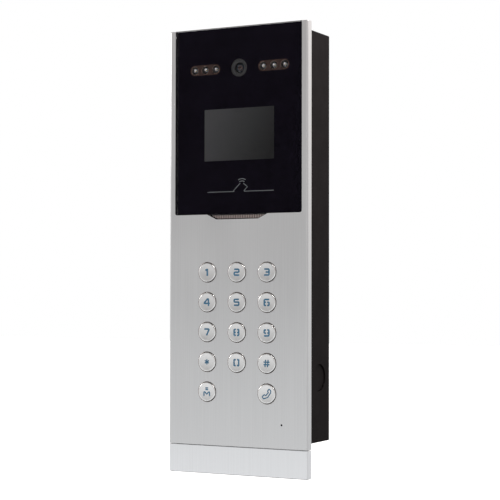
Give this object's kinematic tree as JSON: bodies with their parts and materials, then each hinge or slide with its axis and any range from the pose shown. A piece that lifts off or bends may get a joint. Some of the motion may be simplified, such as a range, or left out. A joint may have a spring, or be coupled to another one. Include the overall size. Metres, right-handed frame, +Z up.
{
  "type": "video intercom door station",
  "caption": "Wall-mounted video door station: brushed metal front with glass window, camera, screen, numeric keypad and slide-off lower cover on a black back box.",
  "frame": {"origin": "centre of the back box's rear face, on the wall plane", "axes": "+Z up; +Y from the front face to the wall; +X to the right when facing the front"},
  "size_m": [0.14, 0.0609, 0.4],
  "materials": {
    "brushed_aluminium": "fine vertical brushing, clear anodised",
    "window_glass": "toughened glass, black print behind with clear windows",
    "screen": "switched-off liquid crystal screen, smooth",
    "satin_silver": "satin silver plated",
    "legend_blue": "translucent blue",
    "black_plastic": "fine moulded texture",
    "brown_plastic": "smooth moulded",
    "clear_lens": "clear, polished",
    "black_paint": "black powder coat on folded steel",
    "black_rubber": "matt",
    "silicone_mat": "matt silicone",
    "circuit_board": "solder mask on glass-fibre board",
    "green_plastic": "moulded",
    "mesh_metal": "pressed fine mesh, darkened",
    "zinc_steel": "zinc plated"
  },
  "bodies": {
    "station": {"front_panel": "brushed_aluminium", "window_glass": "window_glass", "lcd_module": "screen", "rfid_antenna": "circuit_board", "lamp_holder": "brown_plastic", "camera_barrel": "black_plastic", "camera_lens": "clear_lens", "camera_board": "circuit_board", "speaker_mesh": "mesh_metal", "speaker": "black_plastic", "microphone": "black_rubber", "keypad_mat": "silicone_mat", "keypad_board": "circuit_board", "main_board": "circuit_board", "terminal_block": "green_plastic", "rear_housing": "black_plastic", "back_box": "black_paint", "box_gasket": "black_rubber", "cable_grommet": "black_rubber", "lock_screw_left": "zinc_steel", "lock_screw_right": "zinc_steel", "infrared_lamp_1": "clear_lens", "infrared_lamp_2": "clear_lens", "infrared_lamp_3": "clear_lens", "infrared_lamp_4": "clear_lens", "infrared_lamp_5": "clear_lens", "infrared_lamp_6": "clear_lens", "housing_screw_1": "zinc_steel", "housing_screw_2": "zinc_steel", "housing_screw_3": "zinc_steel", "housing_screw_4": "zinc_steel"},
    "bottom_cover": {"bottom_cover": "brushed_aluminium"},
    "key_1": {"key_1_cap": "satin_silver", "key_1_light_guide": "legend_blue"},
    "key_2": {"key_2_cap": "satin_silver", "key_2_light_guide": "legend_blue"},
    "key_3": {"key_3_cap": "satin_silver", "key_3_light_guide": "legend_blue"},
    "key_4": {"key_4_cap": "satin_silver", "key_4_light_guide": "legend_blue"},
    "key_5": {"key_5_cap": "satin_silver", "key_5_light_guide": "legend_blue"},
    "key_6": {"key_6_cap": "satin_silver", "key_6_light_guide": "legend_blue"},
    "key_7": {"key_7_cap": "satin_silver", "key_7_light_guide": "legend_blue"},
    "key_8": {"key_8_cap": "satin_silver", "key_8_light_guide": "legend_blue"},
    "key_9": {"key_9_cap": "satin_silver", "key_9_light_guide": "legend_blue"},
    "key_star": {"key_star_cap": "satin_silver", "key_star_light_guide": "legend_blue"},
    "key_0": {"key_0_cap": "satin_silver", "key_0_light_guide": "legend_blue"},
    "key_hash": {"key_hash_cap": "satin_silver", "key_hash_light_guide": "legend_blue"},
    "key_concierge": {"key_concierge_cap": "satin_silver", "key_concierge_light_guide": "legend_blue"},
    "key_call": {"key_call_cap": "satin_silver", "key_call_light_guide": "legend_blue"}
  },
  "joints": [
    {"name": "key_1_press", "type": "slide", "parent": "station", "child": "key_1", "axis": [0, 1, 0], "range_m": [0, 0.0012], "stiffness_N_per_m": 1500},
    {"name": "key_2_press", "type": "slide", "parent": "station", "child": "key_2", "axis": [0, 1, 0], "range_m": [0, 0.0012], "stiffness_N_per_m": 1500},
    {"name": "key_3_press", "type": "slide", "parent": "station", "child": "key_3", "axis": [0, 1, 0], "range_m": [0, 0.0012], "stiffness_N_per_m": 1500},
    {"name": "key_4_press", "type": "slide", "parent": "station", "child": "key_4", "axis": [0, 1, 0], "range_m": [0, 0.0012], "stiffness_N_per_m": 1500},
    {"name": "key_5_press", "type": "slide", "parent": "station", "child": "key_5", "axis": [0, 1, 0], "range_m": [0, 0.0012], "stiffness_N_per_m": 1500},
    {"name": "key_6_press", "type": "slide", "parent": "station", "child": "key_6", "axis": [0, 1, 0], "range_m": [0, 0.0012], "stiffness_N_per_m": 1500},
    {"name": "key_7_press", "type": "slide", "parent": "station", "child": "key_7", "axis": [0, 1, 0], "range_m": [0, 0.0012], "stiffness_N_per_m": 1500},
    {"name": "key_8_press", "type": "slide", "parent": "station", "child": "key_8", "axis": [0, 1, 0], "range_m": [0, 0.0012], "stiffness_N_per_m": 1500},
    {"name": "key_9_press", "type": "slide", "parent": "station", "child": "key_9", "axis": [0, 1, 0], "range_m": [0, 0.0012], "stiffness_N_per_m": 1500},
    {"name": "key_star_press", "type": "slide", "parent": "station", "child": "key_star", "axis": [0, 1, 0], "range_m": [0, 0.0012], "stiffness_N_per_m": 1500},
    {"name": "key_0_press", "type": "slide", "parent": "station", "child": "key_0", "axis": [0, 1, 0], "range_m": [0, 0.0012], "stiffness_N_per_m": 1500},
    {"name": "key_hash_press", "type": "slide", "parent": "station", "child": "key_hash", "axis": [0, 1, 0], "range_m": [0, 0.0012], "stiffness_N_per_m": 1500},
    {"name": "key_concierge_press", "type": "slide", "parent": "station", "child": "key_concierge", "axis": [0, 1, 0], "range_m": [0, 0.0012], "stiffness_N_per_m": 1500},
    {"name": "key_call_press", "type": "slide", "parent": "station", "child": "key_call", "axis": [0, 1, 0], "range_m": [0, 0.0012], "stiffness_N_per_m": 1500},
    {"name": "bottom_cover_slide", "type": "slide", "parent": "station", "child": "bottom_cover", "axis": [0, 0, -1], "range_m": [0, 0.022]}
  ]
}
